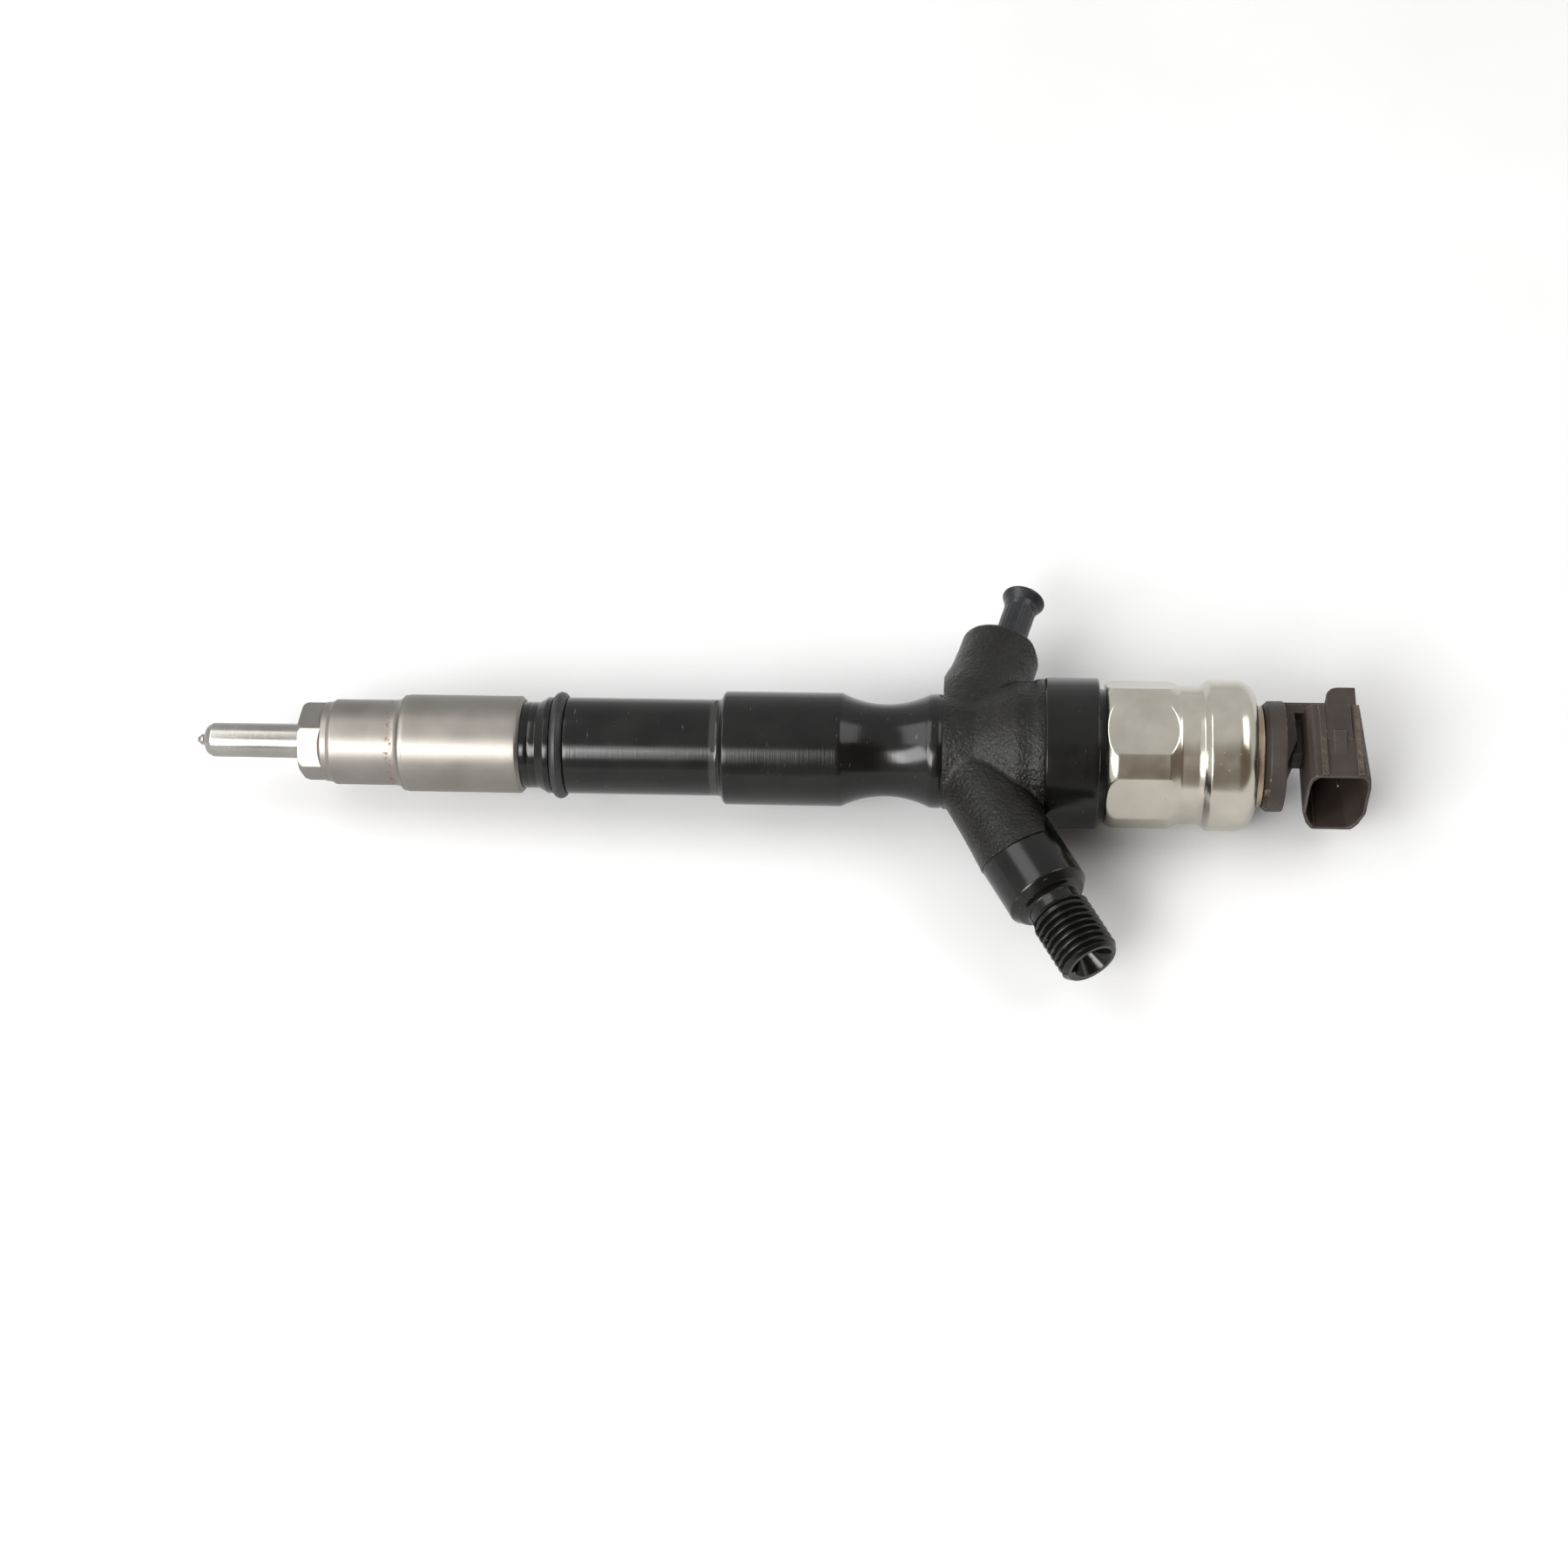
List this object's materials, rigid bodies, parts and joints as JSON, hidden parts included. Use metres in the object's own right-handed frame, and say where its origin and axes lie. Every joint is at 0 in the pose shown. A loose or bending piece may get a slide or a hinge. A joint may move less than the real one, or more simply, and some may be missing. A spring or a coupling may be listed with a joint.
{
  "type": "fuel injector",
  "caption": "Common-rail diesel injector with a slim nozzle, an angled threaded inlet arm, a plugged leak-off boss, a plated solenoid nut and a moulded plug socket.",
  "frame": {"origin": "on the injector's axis, in the end face of the nozzle nut that seats in the engine", "axes": "+X along the injector's axis from the nozzle to the connector, inlet arm towards -Y, leak-off boss towards +Y, +Z normal to the plane of both"},
  "size_m": [0.2351, 0.0917, 0.03],
  "materials": {
    "nozzle_steel": "turned and polished hardened steel",
    "needle_steel": "lapped hardened steel",
    "nut_steel": "turned satin steel with a warm grey tone",
    "ground_steel": "ground steel",
    "spring_steel": "oil-tempered spring wire",
    "black_oxide": "black oxide on turned and forged steel",
    "black_rubber": "moulded black rubber",
    "copper": "soft copper",
    "magnet_iron": "plain soft iron",
    "bobbin_plastic": "glass-filled moulding",
    "winding_copper": "enamelled copper wire",
    "nickel": "satin nickel plate with a warm tone",
    "tinned_plate": "pale brass-toned plate",
    "grey_brown_moulding": "grey-brown moulded nylon",
    "tin": "tin-plated contact pins",
    "plug_plastic": "dark moulded plastic with a soft gloss"
  },
  "bodies": {
    "injector": {"nozzle_body": "nozzle_steel", "nozzle_nut": "nut_steel", "distance_plate": "ground_steel", "nozzle_dowels": "ground_steel", "nozzle_spring": "spring_steel", "spring_shim": "ground_steel", "injector_body": "black_oxide", "body_o_ring": "black_rubber", "valve_body": "ground_steel", "valve_seal_ring": "copper", "valve_clamp_nut": "ground_steel", "armature_guide": "ground_steel", "lift_shim": "ground_steel", "valve_spring": "spring_steel", "spring_cap": "ground_steel", "solenoid_core": "magnet_iron", "coil_bobbin": "bobbin_plastic", "coil_winding": "winding_copper", "solenoid_shell": "magnet_iron", "solenoid_o_ring": "black_rubber", "solenoid_nut": "nickel", "end_plate": "tinned_plate", "connector_housing": "grey_brown_moulding", "connector_terminals": "tin", "contact_strips": "tinned_plate", "inlet_filter": "ground_steel"},
    "piston": {"command_piston": "needle_steel"},
    "needle": {"nozzle_needle": "needle_steel", "pressure_pin": "ground_steel"},
    "armature": {"armature_pin": "needle_steel", "armature_plate": "magnet_iron", "ball_cup": "ground_steel", "valve_ball": "needle_steel"},
    "plug": {"leak_off_plug": "plug_plastic"}
  },
  "joints": [
    {"name": "piston_lift", "type": "slide", "parent": "injector", "child": "piston", "axis": [1, 0, 0], "range_m": [0, 0.00025], "deforming": ["nozzle_spring"]},
    {"name": "needle_lift", "type": "slide", "parent": "injector", "child": "needle", "axis": [1, 0, 0], "range_m": [0, 0.00025]},
    {"name": "valve_lift", "type": "slide", "parent": "injector", "child": "armature", "axis": [1, 0, 0], "range_m": [0, 0.00006], "deforming": ["valve_spring"]},
    {"name": "plug_pull", "type": "slide", "parent": "injector", "child": "plug", "axis": [0.2639, 0.9646, 0], "range_m": [0, 0.02]}
  ],
  "couplings": [
    {"joint": "needle_lift", "follows": "piston_lift", "ratio": 1}
  ]
}
